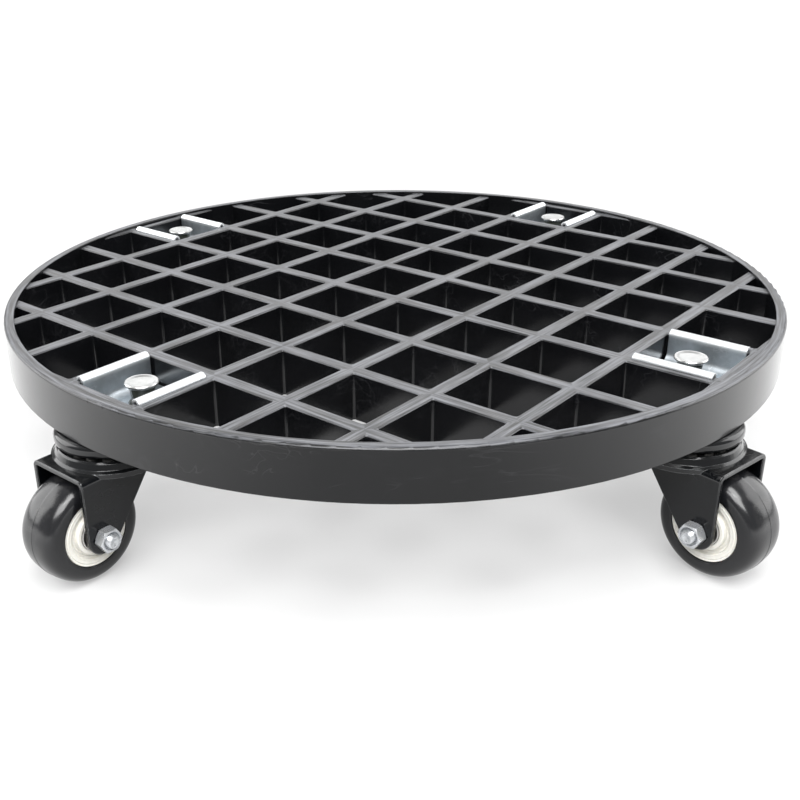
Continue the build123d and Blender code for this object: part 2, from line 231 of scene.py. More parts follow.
def joined(tree, across, along, up=0.0):
    """A vector made of three values."""
    return add_node(tree, "ShaderNodeCombineXYZ", {0: across, 1: along, 2: up}).outputs[0]


def axis_radius(tree, place):
    """Distance of a place from the Z axis."""
    squares = maths(tree, "ADD", product(tree, place[0], place[0]), product(tree, place[1], place[1]))
    return maths(tree, "SQRT", squares)


def axis_angle(tree, place):
    """Angle of a place about the Z axis."""
    return maths(tree, "ARCTAN2", place[1], place[0])


def vector_maths(tree, operation, first, second=(0.0, 0.0, 0.0)):
    """The vector result of a Vector Math node."""
    return add_node(tree, "ShaderNodeVectorMath", {0: first, 1: second}, operation=operation).outputs[0]


def noise(tree, where, scale, detail=3.0, roughness=0.55, distortion=0.0):
    """The value of a noise texture."""
    sockets = {
        "Vector": where, "Scale": scale, "Detail": detail, "Roughness": roughness, "Distortion": distortion}
    return add_node(tree, "ShaderNodeTexNoise", sockets).outputs["Fac"]


def between(tree, value, low, high, to_low=0.0, to_high=1.0):
    """A value mapped from one range to another, and held inside it."""
    sockets = {"Value": value, "From Min": low, "From Max": high, "To Min": to_low, "To Max": to_high}
    return add_node(tree, "ShaderNodeMapRange", sockets).outputs["Result"]


def dot_product(tree, first, second):
    """The dot product of two vectors."""
    made = add_node(tree, "ShaderNodeVectorMath", {0: first, 1: second}, operation="DOT_PRODUCT")
    return made.outputs["Value"]


def mix_colour(tree, factor, first, second):
    """Two colours mixed by a factor."""
    made = add_node(tree, "ShaderNodeMix", {0: factor, 6: first, 7: second}, data_type="RGBA")
    return made.outputs[2]


def mix_value(tree, factor, first, second):
    """Two values mixed by a factor."""
    return add_node(tree, "ShaderNodeMix", {0: factor, 2: first, 3: second}, data_type="FLOAT").outputs[0]


def mix_vector(tree, factor, first, second):
    """Two vectors mixed by a factor."""
    return add_node(tree, "ShaderNodeMix", {0: factor, 4: first, 5: second}, data_type="VECTOR").outputs[1]


def bump(tree, height, strength, distance, normal=None):
    """A normal bumped by a height, with the distance in metres."""
    sockets = {"Height": height, "Strength": strength, "Distance": distance}
    if normal is not None:
        sockets["Normal"] = normal
    return add_node(tree, "ShaderNodeBump", sockets).outputs["Normal"]


def shade(colour, factor):
    """A colour made lighter or darker, with alpha."""
    return (colour[0] * factor, colour[1] * factor, colour[2] * factor, 1.0)


# Shared effects, each a node group built once


def start_group(name, inputs, outputs):
    """An empty node group with its sockets, and the sockets to build between."""
    tree = bpy.data.node_groups.new(name, "ShaderNodeTree")
    for label, kind, default in inputs:
        socket = tree.interface.new_socket(name=label, in_out="INPUT", socket_type="NodeSocket" + kind)
        if default is not None:
            socket.default_value = default
    for label, kind in outputs:
        tree.interface.new_socket(name=label, in_out="OUTPUT", socket_type="NodeSocket" + kind)
    given = tree.nodes.new("NodeGroupInput").outputs
    result = tree.nodes.new("NodeGroupOutput").inputs
    return tree, given, result


def edge_wear_group():
    """Edge Wear: a mask along sharp edges, broken up by noise, and the normal with those edges rounded."""
    tree, given, result = start_group(
        "Edge Wear",
        [("Vector", "Vector", None), ("Radius", "Float", 0.5 * MM), ("Breakup", "Float", 400.0),
         ("Amount", "Float", 0.5)],
        [("Mask", "Float"), ("Normal", "Vector")])
    rounded = add_node(tree, "ShaderNodeBevel", {"Radius": given["Radius"]}, samples=6).outputs["Normal"]
    flat = add_node(tree, "ShaderNodeNewGeometry").outputs["Normal"]
    facing = dot_product(tree, rounded, flat)
    edge = between(tree, facing, 0.985, 0.80)
    patchy = between(tree, noise(tree, given["Vector"], given["Breakup"], 4.0, 0.65), 0.35, 0.68)
    tree.links.new(product(tree, product(tree, edge, patchy), given["Amount"]), result["Mask"])
    tree.links.new(rounded, result["Normal"])
    return tree


def grain_group():
    """Grain: a fine even texture and a slow uneven one, both from 0 to 1."""
    tree, given, result = start_group(
        "Grain",
        [("Vector", "Vector", None), ("Fine Scale", "Float", 2500.0), ("Slow Scale", "Float", 30.0)],
        [("Fine", "Float"), ("Slow", "Float")])
    tree.links.new(noise(tree, given["Vector"], given["Fine Scale"], 3.0, 0.6), result["Fine"])
    slow = noise(tree, given["Vector"], given["Slow Scale"], 4.0, 0.6, 0.3)
    tree.links.new(between(tree, slow, 0.3, 0.7), result["Slow"])
    return tree


def streaks_group():
    """Streaks: lines drawn out along the vector's Y, a given width apart along its X."""
    tree, given, result = start_group(
        "Streaks",
        [("Vector", "Vector", None), ("Width", "Float", MM), ("Stretch", "Float", 0.04)],
        [("Value", "Float")])
    where = vector_maths(tree, "MULTIPLY", given["Vector"], joined(tree, 1.0, given["Stretch"], 1.0))
    scale = maths(tree, "DIVIDE", 1.0, given["Width"])
    coarse = noise(tree, where, scale, 2.0, 0.5)
    fine = noise(tree, where, product(tree, scale, 2.7), 2.0, 0.5)
    both = maths(tree, "ADD", product(tree, coarse, 0.6), product(tree, fine, 0.4))
    tree.links.new(between(tree, both, 0.42, 0.60), result["Value"])
    return tree


def dust_group():
    """Dust: a mask of fine settled dust on faces that look up."""
    tree, given, result = start_group(
        "Dust",
        [("Vector", "Vector", None), ("Scale", "Float", 60.0), ("Amount", "Float", 0.2)],
        [("Mask", "Float")])
    normal = add_node(tree, "ShaderNodeNewGeometry").outputs["Normal"]
    lying = between(tree, split(tree, normal)[2], 0.5, 1.0)
    cloudy = between(tree, noise(tree, given["Vector"], given["Scale"], 6.0, 0.7), 0.4, 0.75)
    dots = noise(tree, given["Vector"], product(tree, given["Scale"], 30.0), 2.0)
    both = maths(tree, "MULTIPLY_ADD", between(tree, dots, 0.6, 0.75), 0.5, cloudy)
    tree.links.new(product(tree, product(tree, lying, both), given["Amount"]), result["Mask"])
    return tree


def scratches_group():
    """Scratches: thin curved lines in two directions, from 0 to 1."""
    tree, given, result = start_group(
        "Scratches",
        [("Vector", "Vector", None), ("Scale", "Float", 150.0), ("Thinness", "Float", 0.02)],
        [("Mask", "Float")])
    masks = []
    for turn, stretch in ((0.5, (1.0, 0.12, 1.0)), (-0.9, (0.1, 1.0, 1.0))):
        sockets = {"Vector": given["Vector"], "Angle": turn}
        swung = add_node(tree, "ShaderNodeVectorRotate", sockets, rotation_type="Z_AXIS")
        long_way = vector_maths(tree, "MULTIPLY", swung.outputs[0], stretch)
        wave = noise(tree, long_way, given["Scale"], 2.0, 0.5, 0.6)
        line = maths(tree, "ABSOLUTE", maths(tree, "SUBTRACT", wave, 0.5))
        masks.append(between(tree, maths(tree, "DIVIDE", line, given["Thinness"]), 1.0, 0.0))
    gaps = noise(tree, given["Vector"], product(tree, given["Scale"], 0.4), 3.0)
    lines = maths(tree, "MAXIMUM", *masks)
    tree.links.new(product(tree, lines, between(tree, gaps, 0.5, 0.6)), result["Mask"])
    return tree


GROUP_MAKERS = {
    "Edge Wear": edge_wear_group,
    "Grain": grain_group,
    "Streaks": streaks_group,
    "Dust": dust_group,
    "Scratches": scratches_group,
}


def effect(tree, name, **inputs):
    """Places a shared effect in a material and returns its outputs. Underscores stand for spaces."""
    group = bpy.data.node_groups.get(name) or GROUP_MAKERS[name]()
    made = tree.nodes.new("ShaderNodeGroup")
    made.node_tree = group
    for label, value in inputs.items():
        socket = made.inputs[label.replace("_", " ")]
        if isinstance(value, bpy.types.NodeSocket):
            tree.links.new(value, socket)
        else:
            socket.default_value = value
    return made.outputs


# Materials


def start_material(name):
    """A new material, its node tree, its shader and the object coordinates."""
    made = bpy.data.materials.new(name)
    made.use_nodes = True
    tree = made.node_tree
    where = add_node(tree, "ShaderNodeTexCoord").outputs["Object"]
    return made, tree, tree.nodes["Principled BSDF"], where


def connect(tree, shader, **sources):
    """Links sources to the shader's sockets. Underscores stand for spaces."""
    for label, source in sources.items():
        tree.links.new(source, shader.inputs[label.replace("_", " ")])


def outer_rim_normal(tree, looks, place, radius):
    """The smooth normal of the rim's outer wall, rounded edge and top, worked out from the place on it."""
    edge_start = looks.deck_radius - looks.rim_edge
    outward = maths(tree, "MAXIMUM", maths(tree, "SUBTRACT", radius, edge_start), 0.0)
    upward = maths(tree, "MAXIMUM", maths(tree, "SUBTRACT", place[2], looks.rim_top - looks.rim_edge), 0.0)
    share = maths(tree, "DIVIDE", outward, radius)
    bent = joined(tree, product(tree, place[0], share), product(tree, place[1], share), upward)
    return vector_maths(tree, "NORMALIZE", bent)


def drawn_lines(tree, looks, place, radius, on_rim):
    """A vector whose Y runs along the nearest rib, or round the rim."""
    steps = [maths(tree, "ADD", maths(tree, "DIVIDE", place[i], looks.cell_pitch), 0.5) for i in (0, 1)]
    from_line = [maths(tree, "PINGPONG", step, 0.5) for step in steps]
    along_y = maths(tree, "LESS_THAN", from_line[0], from_line[1])
    to_y = joined(tree, place[0], place[1], place[2])
    to_x = joined(tree, place[1], place[0], place[2])
    straight = mix_vector(tree, along_y, to_x, to_y)
    round_way = product(tree, axis_angle(tree, place), looks.rim_radius)
    return mix_vector(tree, on_rim, straight, joined(tree, radius, round_way, place[2]))


def deck_plastic(looks):
    """Satin black moulded plastic: streaks along each rib and round the rim, with the streaks on the rib tops
    painted lighter as a painted sheen, and arrises with wear that is partly a painted highlight.
    """
    made, tree, shader, where = start_material("Deck plastic")
    place = split(tree, where)
    radius = axis_radius(tree, place)
    on_rim = maths(tree, "GREATER_THAN", radius, looks.rim_radius)
    drawn = drawn_lines(tree, looks, place, radius, on_rim)
    streaks = effect(tree, "Streaks", Vector=drawn, Width=looks.streak_width, Stretch=0.03)["Value"]
    grain = effect(tree, "Grain", Vector=where, Fine_Scale=2600.0, Slow_Scale=26.0)
    wear = effect(tree, "Edge Wear", Vector=where, Radius=0.55 * MM, Breakup=260.0, Amount=0.55)
    dust = effect(tree, "Dust", Vector=where, Scale=55.0, Amount=0.10)["Mask"]
    scratches = effect(tree, "Scratches", Vector=where, Scale=90.0, Thinness=0.012)["Mask"]
    past_inner_edge = maths(tree, "GREATER_THAN", radius, looks.rim_radius + RIM_INNER_EDGE)
    above_lower_edge = maths(tree, "GREATER_THAN", place[2], looks.rim_top - RIM_SMOOTH_DEPTH)
    outside = product(tree, past_inner_edge, above_lower_edge)
    rounded = mix_vector(tree, outside, wear["Normal"], outer_rim_normal(tree, looks, place, radius))
    up = between(tree, split(tree, rounded)[2], 0.3, 0.9)
    # The streaks on the up-facing rib tops are painted a lighter grey: a painted sheen laid over the real
    # drawn streaks
    top_streaks_and_sheen = product(tree, streaks, up)
    base = mix_colour(tree, grain["Slow"], shade(looks.plastic, 0.8), shade(looks.plastic, 1.25))
    topped = mix_colour(tree, up, base, RIB_DARK)
    streaked_with_sheen = mix_colour(tree, top_streaks_and_sheen, topped, RIB_STREAK_SHEEN)
    # The rib edges are painted light grey: partly real wear, partly a painted highlight along the edges
    rib_edge_wear_and_glint = product(tree, wear["Mask"], maths(tree, "SUBTRACT", 1.0, on_rim))
    worn_and_glinting = mix_colour(tree, rib_edge_wear_and_glint, streaked_with_sheen, WORN_AND_GLINTING_PLASTIC)
    marked = mix_colour(tree, product(tree, scratches, 0.25), worn_and_glinting, SCRATCHED_PLASTIC)
    dusted = mix_colour(tree, dust, marked, DECK_DUST)
    plain = mix_value(tree, up, looks.wall_roughness, looks.rib_roughness)
    rough = maths(tree, "MULTIPLY_ADD", maths(tree, "SUBTRACT", top_streaks_and_sheen, 0.3), 0.18, plain)
    rough = maths(tree, "MULTIPLY_ADD", maths(tree, "SUBTRACT", grain["Fine"], 0.5), 0.10, rough)
    rough = maths(tree, "MULTIPLY_ADD", dust, 0.5, rough)
    height = maths(tree, "MULTIPLY_ADD", top_streaks_and_sheen, 0.9, grain["Fine"])
    connect(tree, shader, Base_Color=dusted, Roughness=rough,
            Normal=bump(tree, height, 0.35, 0.05 * MM, rounded))
    shader.inputs["Specular IOR Level"].default_value = 0.42
    return made


def zinc_plate(looks):
    """Zinc-plated sheet: cloudy blue-grey patches, fine scores, bright edges with wear, and lips painted
    bright as a painted highlight.
    """
    made, tree, shader, where = start_material("Zinc plate")
    stir = add_node(tree, "ShaderNodeTexNoise", {"Vector": where, "Scale": 180.0, "Detail": 2.0})
    push = vector_maths(tree, "MULTIPLY", stir.outputs["Color"], (1.5 * MM, 1.5 * MM, 1.5 * MM))
    warped = vector_maths(tree, "ADD", where, push)
    sockets = {"Vector": warped, "Scale": 1.0 / looks.spangle_size, "Randomness": 1.0}
    cells = add_node(tree, "ShaderNodeTexVoronoi", sockets, feature="SMOOTH_F1")
    cells.inputs["Smoothness"].default_value = 0.8
    spangle = add_node(tree, "ShaderNodeSeparateColor", {0: cells.outputs["Color"]}).outputs[0]
    grain = effect(tree, "Grain", Vector=where, Fine_Scale=1800.0, Slow_Scale=75.0)
    wear = effect(tree, "Edge Wear", Vector=where, Radius=0.35 * MM, Breakup=300.0, Amount=0.8)
    scratches = effect(tree, "Scratches", Vector=where, Scale=160.0, Thinness=0.015)["Mask"]
    cloud = maths(tree, "MULTIPLY_ADD", spangle, 0.35, product(tree, grain["Slow"], 0.65))
    base = mix_colour(tree, cloud, shade(looks.zinc, 0.42), shade(looks.zinc, 1.05))
    # The lips are painted near white by height: a painted highlight on their rolled tops, joined with the real
    # edge wear
    lip_highlight = between(tree, split(tree, where)[2], LIP_HIGHLIGHT_START, LIP_HIGHLIGHT_END)
    wear_and_lip_highlight = maths(tree, "MAXIMUM", wear["Mask"], product(tree, lip_highlight, 0.8))
    rubbed_and_highlit = mix_colour(tree, wear_and_lip_highlight, base, RUBBED_AND_HIGHLIT_ZINC)
    scored = mix_colour(tree, product(tree, scratches, 0.4), rubbed_and_highlit, SCORED_ZINC)
    rough = mix_value(tree, cloud, 0.46, 0.30)
    rough = maths(tree, "MULTIPLY_ADD", grain["Fine"], 0.08, rough)
    height = maths(tree, "MULTIPLY_ADD", cloud, 2.0, grain["Fine"])
    connect(tree, shader, Base_Color=scored, Roughness=rough,
            Normal=bump(tree, height, 0.3, 0.04 * MM, wear["Normal"]))
    shader.inputs["Metallic"].default_value = 1.0
    return made


def bright_steel(looks):
    """Satin bright plating with a few handling marks."""
    made, tree, shader, where = start_material("Bright steel")
    grain = effect(tree, "Grain", Vector=where, Fine_Scale=2200.0, Slow_Scale=120.0)
    wear = effect(tree, "Edge Wear", Vector=where, Radius=0.3 * MM, Breakup=400.0, Amount=0.7)
    scratches = effect(tree, "Scratches", Vector=where, Scale=260.0, Thinness=0.02)["Mask"]
    base = mix_colour(tree, grain["Slow"], shade(looks.bright, 0.84), shade(looks.bright, 1.06))
    marked = mix_colour(tree, product(tree, scratches, 0.35), base, shade(looks.bright, 0.6))
    rough = mix_value(tree, grain["Slow"], 0.34, 0.24)
    rough = maths(tree, "MULTIPLY_ADD", scratches, 0.15, rough)
    connect(tree, shader, Base_Color=mix_colour(tree, wear["Mask"], marked, shade(looks.bright, 1.12)),
            Roughness=rough, Normal=bump(tree, grain["Fine"], 0.2, 0.02 * MM, wear["Normal"]))
    shader.inputs["Metallic"].default_value = 1.0
    return made


def black_bush(looks):
    """Black moulded bush with a faint green-brown cast and scuffed edges."""
    made, tree, shader, where = start_material("Black bush")
    grain = effect(tree, "Grain", Vector=where, Fine_Scale=1500.0, Slow_Scale=140.0)
    wear = effect(tree, "Edge Wear", Vector=where, Radius=0.3 * MM, Breakup=500.0, Amount=0.5)
    base = mix_colour(tree, grain["Slow"], BUSH_DARK, BUSH_OLIVE)
    connect(tree, shader, Base_Color=mix_colour(tree, wear["Mask"], base, BUSH_SCUFF),
            Roughness=mix_value(tree, grain["Fine"], 0.22, 0.42),
            Normal=bump(tree, grain["Fine"], 0.3, 0.05 * MM, wear["Normal"]))
    return made


def black_enamel(looks):
    """Gloss black enamel on pressed steel: a slight orange peel, thin bright arrises that are partly a painted
    highlight, and a little dust.
    """
    made, tree, shader, where = start_material("Black enamel")
    grain = effect(tree, "Grain", Vector=where, Fine_Scale=650.0, Slow_Scale=60.0)
    wear = effect(tree, "Edge Wear", Vector=where, Radius=0.4 * MM, Breakup=120.0, Amount=0.85)
    dust = effect(tree, "Dust", Vector=where, Scale=120.0, Amount=0.05)["Mask"]
    scratches = effect(tree, "Scratches", Vector=where, Scale=120.0, Thinness=0.010)["Mask"]
    base = mix_colour(tree, grain["Slow"], shade(looks.enamel, 0.75), shade(looks.enamel, 1.3))
    # The arrises are painted light grey: partly real wear through the enamel, partly a painted highlight along
    # the edges
    worn_and_glinting = mix_colour(tree, wear["Mask"], base, ENAMEL_EDGE_WEAR_AND_GLINT)
    dusted = mix_colour(tree, dust, worn_and_glinting, ENAMEL_DUST)
    rough = mix_value(tree, grain["Slow"], looks.enamel_roughness - 0.05, looks.enamel_roughness + 0.06)
    dull = maths(tree, "MAXIMUM", dust, product(tree, scratches, 0.4))
    rough = maths(tree, "MULTIPLY_ADD", dull, 0.6, rough)
    connect(tree, shader, Base_Color=dusted, Roughness=rough,
            Normal=bump(tree, grain["Fine"], 0.18, 0.06 * MM, wear["Normal"]))
    return made


def zinc_fastener(looks):
    """Plated nuts and bolts: bright with a faint straw and blue cast, tool marks and dull hollows."""
    made, tree, shader, where = start_material("Zinc fastener")
    grain = effect(tree, "Grain", Vector=where, Fine_Scale=1600.0, Slow_Scale=260.0)
    wear = effect(tree, "Edge Wear", Vector=where, Radius=0.3 * MM, Breakup=600.0, Amount=0.8)
    scratches = effect(tree, "Scratches", Vector=where, Scale=420.0, Thinness=0.03)["Mask"]
    cool = mix_colour(tree, grain["Slow"], shade(looks.fastener, 0.72), BLUE_PASSIVATION)
    straw = between(tree, noise(tree, where, 170.0, 2.0), 0.55, 0.75, 0.0, 0.35)
    base = mix_colour(tree, straw, cool, STRAW_PASSIVATION)
    marked = mix_colour(tree, product(tree, scratches, 0.5), base, shade(looks.fastener, 0.45))
    rough = mix_value(tree, grain["Slow"], 0.36, 0.22)
    connect(tree, shader, Base_Color=mix_colour(tree, wear["Mask"], marked, BARE_PLATING),
            Roughness=maths(tree, "MULTIPLY_ADD", scratches, 0.2, rough),
            Normal=bump(tree, grain["Fine"], 0.25, 0.03 * MM, wear["Normal"]))
    shader.inputs["Metallic"].default_value = 0.78
    return made


def plain_steel(looks):
    """Ground steel with an oily film."""
    made, tree, shader, where = start_material("Plain steel")
    grain = effect(tree, "Grain", Vector=where, Fine_Scale=2000.0, Slow_Scale=180.0)
    wear = effect(tree, "Edge Wear", Vector=where, Radius=0.25 * MM, Breakup=500.0, Amount=0.6)
    base = mix_colour(tree, grain["Slow"], shade(looks.steel, 0.6), shade(looks.steel, 1.15))
    connect(tree, shader, Base_Color=mix_colour(tree, wear["Mask"], base, BARE_STEEL),
            Roughness=mix_value(tree, grain["Slow"], 0.38, 0.24),
            Normal=bump(tree, grain["Fine"], 0.2, 0.02 * MM, wear["Normal"]))
    shader.inputs["Metallic"].default_value = 1.0
    return made


def tread_rubber(looks):
    """Smooth glossy tread: faint turned rings, and a rolling band that is duller, with pressed-in dust."""
    made, tree, shader, where = start_material("Tread rubber")
    place = split(tree, where)
    out = axis_radius(tree, place)
    round_way = product(tree, axis_angle(tree, place), looks.radius)
    ringwise = joined(tree, maths(tree, "ADD", out, place[2]), round_way)
    rings = effect(tree, "Streaks", Vector=ringwise, Width=0.8 * MM, Stretch=0.02)["Value"]
    grain = effect(tree, "Grain", Vector=where, Fine_Scale=1900.0, Slow_Scale=70.0)
    rolling = between(tree, out, looks.radius - 1.2 * MM, looks.radius - 0.2 * MM)
    scuff = product(tree, rolling, between(tree, noise(tree, where, 220.0, 5.0, 0.7), 0.45, 0.7))
    base = mix_colour(tree, grain["Slow"], shade(looks.tread, 0.8), shade(looks.tread, 1.3))
    scuffed = mix_colour(tree, product(tree, scuff, 0.12), base, ROLLING_DUST)
    rough = mix_value(tree, rings, 0.17, 0.22)
    rough = maths(tree, "MULTIPLY_ADD", scuff, 0.08, rough)
    rough = maths(tree, "MULTIPLY_ADD", maths(tree, "SUBTRACT", grain["Fine"], 0.5), 0.08, rough)
    height = maths(tree, "MULTIPLY_ADD", rings, 0.6, grain["Fine"])
    connect(tree, shader, Base_Color=scuffed, Roughness=rough, Normal=bump(tree, height, 0.14, 0.04 * MM))
    return made


def core_plastic(looks):
    """Cream moulded core: warm and slightly waxy, with faint flow marks and a little grime."""
    made, tree, shader, where = start_material("Core plastic")
    place = split(tree, where)
    grain = effect(tree, "Grain", Vector=where, Fine_Scale=1500.0, Slow_Scale=90.0)
    wear = effect(tree, "Edge Wear", Vector=where, Radius=0.3 * MM, Breakup=350.0, Amount=0.5)
    round_way = product(tree, axis_angle(tree, place), 6.0)
    outwards = product(tree, axis_radius(tree, place), 120.0)
    flow = noise(tree, joined(tree, round_way, outwards), 1.0, 3.0, 0.6, 0.8)
    base = mix_colour(tree, between(tree, flow, 0.35, 0.65), shade(looks.core, 0.96), shade(looks.core, 1.03))
    grime = product(tree, between(tree, noise(tree, where, 260.0, 4.0, 0.7), 0.5, 0.72), 0.03)
    soiled = mix_colour(tree, grime, base, CORE_GRIME)
    connect(tree, shader, Base_Color=mix_colour(tree, wear["Mask"], soiled, shade(looks.core, 1.2)),
            Roughness=mix_value(tree, grain["Slow"], 0.34, 0.46),
            Normal=bump(tree, grain["Fine"], 0.2, 0.03 * MM, wear["Normal"]))
    shader.inputs["Subsurface Weight"].default_value = 0.08
    shader.inputs["Subsurface Radius"].default_value = (1.0, 0.8, 0.55)
    shader.inputs["Subsurface Scale"].default_value = 0.8 * MM
    return made


def dress(node, material):
    """Gives a CAD node its material."""
    data = frame["nodes"][node].data
    data.materials.clear()
    data.materials.append(material)


# Mesh helpers


def wheel_matrix(station, side=1):
    """The place of a wheel: its middle, with Y up and Z along the axle, towards one side or the other."""
    joint = JOINTS["wheel_roll_" + station]
    along = Vector(joint["axis"]).normalized() * side
    up = Vector((0, 0, 1))
    turn = Matrix((up.cross(along), up, along)).transposed().to_4x4()
    return Matrix.Translation(Vector(joint["pos_m"])) @ turn


def turned(profile, segments):
    """Points and faces of a ring about Z. The profile gives a loop of (radius, height) in mm at an angle."""
    points, faces = [], []
    for step in range(segments):
        angle = 2 * math.pi * step / segments
        loop = profile(angle)
        points += [(r * math.cos(angle) * MM, r * math.sin(angle) * MM, z * MM) for r, z in loop]
    count = len(loop)
    for step in range(segments):
        here, there = step * count, (step + 1) % segments * count
        for i in range(count):
            j = (i + 1) % count
            faces.append((here + i, there + i, there + j, here + j))
    return points, faces


def hexagon(angle, across_flats):
    """Radius of a hexagon at an angle, with a corner at 0."""
    return across_flats / 2 / math.cos((angle % (math.pi / 3)) - math.pi / 6)


def mirrored(half):
    """A loop made of a half profile and its mirror image below."""
    return half + [(radius, -height) for radius, height in reversed(half)]


def arc(centre_radius, centre_height, radius, start, end, steps):
    """Profile points on an arc, with its angles in degrees from outwards towards up."""
    made = []
    for step in range(steps + 1):
        angle = math.radians(start + (end - start) * step / steps)
        made.append((centre_radius + radius * math.cos(angle), centre_height + radius * math.sin(angle)))
    return made


def make_piece(name, shape, place, material, body, replaced):
    """Makes a mesh piece, puts it in its place on its body and hides the CAD part that it replaces."""
    mesh = bpy.data.meshes.new(name)
    points, faces = shape
    mesh.from_pydata(points, [], faces)
    shell = bmesh.new()
    shell.from_mesh(mesh)
    bmesh.ops.remove_doubles(shell, verts=shell.verts, dist=1e-7)
    bmesh.ops.recalc_face_normals(shell, faces=shell.faces)
    shell.to_mesh(mesh)
    shell.free()
    mesh.materials.append(material)
    mesh.shade_smooth()
    mesh.set_sharp_from_angle(angle=SHARP_ANGLE)
    piece = bpy.data.objects.new(name, mesh)
    bpy.context.scene.collection.objects.link(piece)
    piece.matrix_world = place
    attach(piece, body)
    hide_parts(replaced)
    return piece


# Profiles of the turned pieces, in mm: radius from the axle and height along it


TREAD_RADIUS = 25.0
TREAD_HALF_WIDTH = 12.0
CORE_RADIUS = 15.8
BORE_RADIUS = 5.7
BEARING_RADIUS = 8.0
HUB_FACE = 12.3
ACROSS_FLATS = 10.0
FORK_FACE = 17.5
NUT_FACE = 22.7
HEAD_FACE = -21.5
BOLT_RADIUS = 3.0
BOLT_TIP = 24.5

# Radius of the flat face that the cone cut leaves, and how far the cut drops for each mm past it
FACE_RADIUS = 4.85
CONE_SLOPE = 0.62

THREAD_START = 20.0
THREAD_PITCH = 0.6
THREAD_RADIUS = 2.98
THREAD_ROOT = 2.7


def tread_profile(angle):
    """A soft rounded tyre with a fine parting ridge and a small inner lip."""
    half = [(TREAD_RADIUS, 0.10), (24.88, 0.28)]
    for step in range(1, 16):
        swing = math.radians(step * 6)
        half.append((17.4 + 7.47 * math.cos(swing) ** 0.72, TREAD_HALF_WIDTH * math.sin(swing) ** 0.72))
    half += [(17.2, TREAD_HALF_WIDTH), (16.9, 11.97), *arc(16.4, 11.4, 0.42, 70, 180, 4)]
    return mirrored(half + [(15.7, 10.4), (15.7, 4.0)])


def core_profile(angle):
    """A stepped hub: outer bead, sloping face, recess with a fine ring, raised boss and bearing pocket."""
    bead = [
        (CORE_RADIUS, 5.0), (CORE_RADIUS, 11.1), *arc(15.5, 11.2, 0.3, 20, 160, 5), (15.05, 11.12),
        (14.75, 11.12), *arc(14.4, 11.05, 0.3, 40, 120, 3)]
    recess = [
        (13.1, 11.2), *arc(12.95, 10.9, 0.4, 70, 170, 4), (12.35, 9.9), *arc(11.95, 9.85, 0.4, 350, 280, 3),
        (11.6, 9.42), (11.5, 9.2), (11.2, 9.2), (11.1, 9.42), *arc(10.6, 9.75, 0.35, 270, 190, 3)]
    boss = [
        (10.2, 10.4), (10.15, 11.7), *arc(9.7, 11.85, 0.45, 10, 90, 4), (8.7, HUB_FACE),
        *arc(8.45, 12.0, 0.3, 90, 170, 3)]
    pocket = [(8.05, 11.4), (BEARING_RADIUS, 7.3), (BORE_RADIUS, 7.3), (BORE_RADIUS, 3.0)]
    return mirrored(bead + recess + boss + pocket)


def cone_cut(angle):
    """Radius of a nut or head at an angle, and how far its corners are cut back there."""
    flat = hexagon(angle, ACROSS_FLATS)
    return flat, max(0.0, flat - FACE_RADIUS) * CONE_SLOPE


def nut_profile(angle):
    """A nut with both faces cut back by a cone, a countersunk opening and a turned washer face."""
    flat, drop = cone_cut(angle)
    outside = [
        (4.6, FORK_FACE), (FACE_RADIUS, 17.6), (flat, 17.6 + drop), (flat, NUT_FACE - drop),
        (FACE_RADIUS, NUT_FACE)]
    opening = [
        (4.25, NUT_FACE), (4.05, 22.5), (3.8, 21.7), (3.6, 21.4), (3.02, 21.2), (3.02, FORK_FACE)]
    return outside + opening


def bolt_profile(angle):
    """A bolt with a cone-cut head, a plain shank and a threaded end with a dimple."""
    flat, drop = cone_cut(angle)
    head = [
        (0.0, -21.35), (3.2, -21.35), (3.5, HEAD_FACE), (FACE_RADIUS, HEAD_FACE), (flat, HEAD_FACE + drop),
        (flat, -17.8), (4.7, -FORK_FACE)]
    shank = [(BOLT_RADIUS, -FORK_FACE), (BOLT_RADIUS, 19.8)]
    ridge = ((THREAD_RADIUS, 0.12), (THREAD_RADIUS, 0.24), (THREAD_ROOT, 0.5))
    thread = [(radius, THREAD_START + THREAD_PITCH * i + shift) for i in range(6) for radius, shift in ridge]
    tip = [
        (THREAD_RADIUS, 23.72), (THREAD_RADIUS, 23.95), (2.55, 24.42), (2.4, BOLT_TIP), (1.75, BOLT_TIP),
        (1.6, 24.38), (0.5, 23.7), (0.0, 23.6)]
    return head + shank + thread + tip


# One operator for each group of pieces


class CADDY_OT_deck(bpy.types.Operator):
    """Give the deck its moulded plastic"""
    bl_idname = "caddy.deck"
    bl_label = "Dress Deck"

    def execute(self, context):
        dress("deck", deck_plastic(context.scene.caddy_deck))
        return {"FINISHED"}


class CADDY_OT_brackets(bpy.types.Operator):
    """Give the saddle brackets, their heads and their bushes their finishes"""
    bl_idname = "caddy.brackets"
    bl_label = "Dress Brackets"

    def execute(self, context):
        looks = context.scene.caddy_metal
        zinc = zinc_plate(looks)
        for station in STATIONS:
            dress("saddle_bracket_" + station, zinc)
        dress("bracket_rivets", bright_steel(looks))
        dress("rivet_bushes", black_bush(looks))
        return {"FINISHED"}


class CADDY_OT_swivels(bpy.types.Operator):
    """Enamel the forks, races and mounting plates, and give the pins and balls bare steel"""
    bl_idname = "caddy.swivels"
    bl_label = "Dress Swivels"

    def execute(self, context):
        looks = context.scene.caddy_metal
        enamel = black_enamel(looks)
        steel = plain_steel(looks)
        for station in STATIONS:
            for piece in ("fork_", "upper_race_", "mount_plate_"):
                dress(piece + station, enamel)
            for piece in ("kingpin_", "swivel_balls_", "axle_sleeve_", "wheel_bearings_"):
                dress(piece + station, steel)
        return {"FINISHED"}


